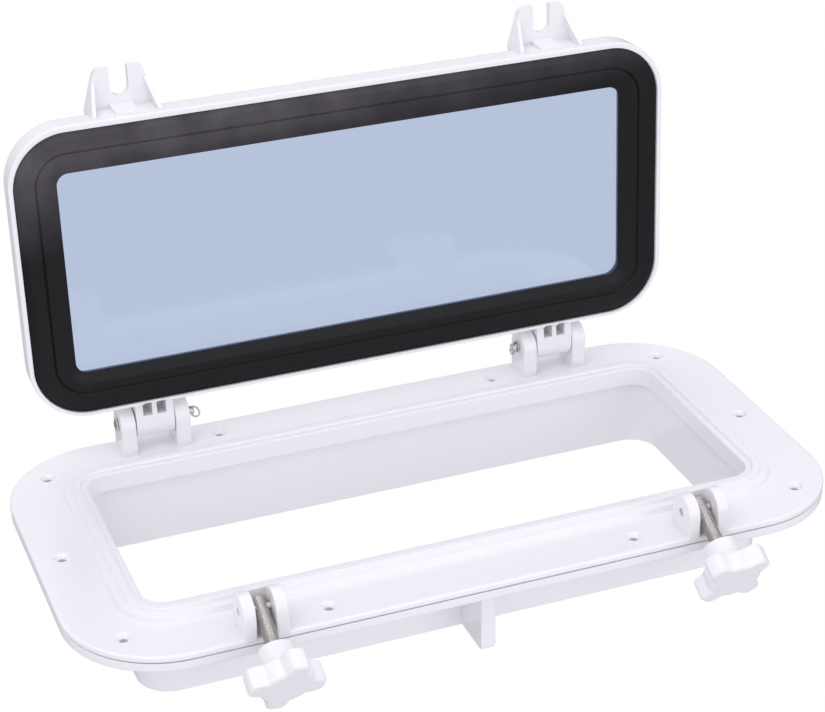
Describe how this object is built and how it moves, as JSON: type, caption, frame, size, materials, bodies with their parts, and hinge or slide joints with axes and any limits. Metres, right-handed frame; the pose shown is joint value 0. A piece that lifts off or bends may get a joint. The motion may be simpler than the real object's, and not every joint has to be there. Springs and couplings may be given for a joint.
{
  "type": "opening deck hatch",
  "caption": "Rectangular marine hatch with a glazed lid on pinned hinges, a trim ring, and swing bolts with star knobs that clamp the lid shut.",
  "frame": {"origin": "middle of the hatch's outline, lid open as pictured, at the height of the spigot's lower edge", "axes": "+X along the hatch's long side and the hinge line, +Y from the clamps towards the hinges, +Z out of the deck"},
  "size_m": [0.44, 0.276, 0.2767],
  "materials": {
    "plastic": "glossy",
    "gasket_rubber": "matt",
    "glazing_sealant": "matt",
    "tinted_glass": "clear, lightly tinted",
    "stainless": "polished"
  },
  "bodies": {
    "base": {"base_frame": "plastic", "trim_ring": "plastic", "hinge_pin_left": "stainless", "hinge_pin_right": "stainless", "hinge_washer_left": "stainless", "hinge_washer_right": "stainless", "hinge_ring_left": "stainless", "hinge_ring_right": "stainless", "clamp_pin_left": "stainless", "clamp_pin_right": "stainless"},
    "lid": {"lid_frame": "plastic", "lid_gasket": "gasket_rubber", "glass_pane": "tinted_glass", "glazing_seal": "glazing_sealant"},
    "bolt_left": {"swing_bolt_left": "stainless"},
    "insert_left": {"knob_insert_left": "stainless"},
    "knob_left": {"knob_left": "plastic"},
    "bolt_right": {"swing_bolt_right": "stainless"},
    "insert_right": {"knob_insert_right": "stainless"},
    "knob_right": {"knob_right": "plastic"}
  },
  "joints": [
    {"name": "lid_hinge", "type": "hinge", "parent": "base", "child": "lid", "pos_m": [0, 0.12, 0.065], "axis": [1, 0, 0], "range_deg": [0, 92]},
    {"name": "bolt_swing_left", "type": "hinge", "parent": "base", "child": "bolt_left", "pos_m": [-0.125, -0.0861, 0.0596], "axis": [-1, 0, 0], "range_deg": [0, 118.5]},
    {"name": "knob_feed_left", "type": "slide", "parent": "bolt_left", "child": "insert_left", "axis": [0, -0.8788, -0.4772], "range_m": [-0.0076, 0.00505]},
    {"name": "knob_spin_left", "type": "hinge", "parent": "insert_left", "child": "knob_left", "pos_m": [-0.125, -0.0861, 0.0596], "axis": [0, -0.8788, -0.4772], "range_deg": [-2160, 1440]},
    {"name": "bolt_swing_right", "type": "hinge", "parent": "base", "child": "bolt_right", "pos_m": [0.125, -0.0861, 0.0596], "axis": [-1, 0, 0], "range_deg": [0, 118.5]},
    {"name": "knob_feed_right", "type": "slide", "parent": "bolt_right", "child": "insert_right", "axis": [0, -0.8788, -0.4772], "range_m": [-0.0076, 0.00505]},
    {"name": "knob_spin_right", "type": "hinge", "parent": "insert_right", "child": "knob_right", "pos_m": [0.125, -0.0861, 0.0596], "axis": [0, -0.8788, -0.4772], "range_deg": [-2160, 1440]}
  ],
  "couplings": [
    {"joint": "knob_feed_left", "follows": "knob_spin_left", "m_per_rad": 0.00019894},
    {"joint": "knob_feed_right", "follows": "knob_spin_right", "m_per_rad": 0.00019894}
  ]
}
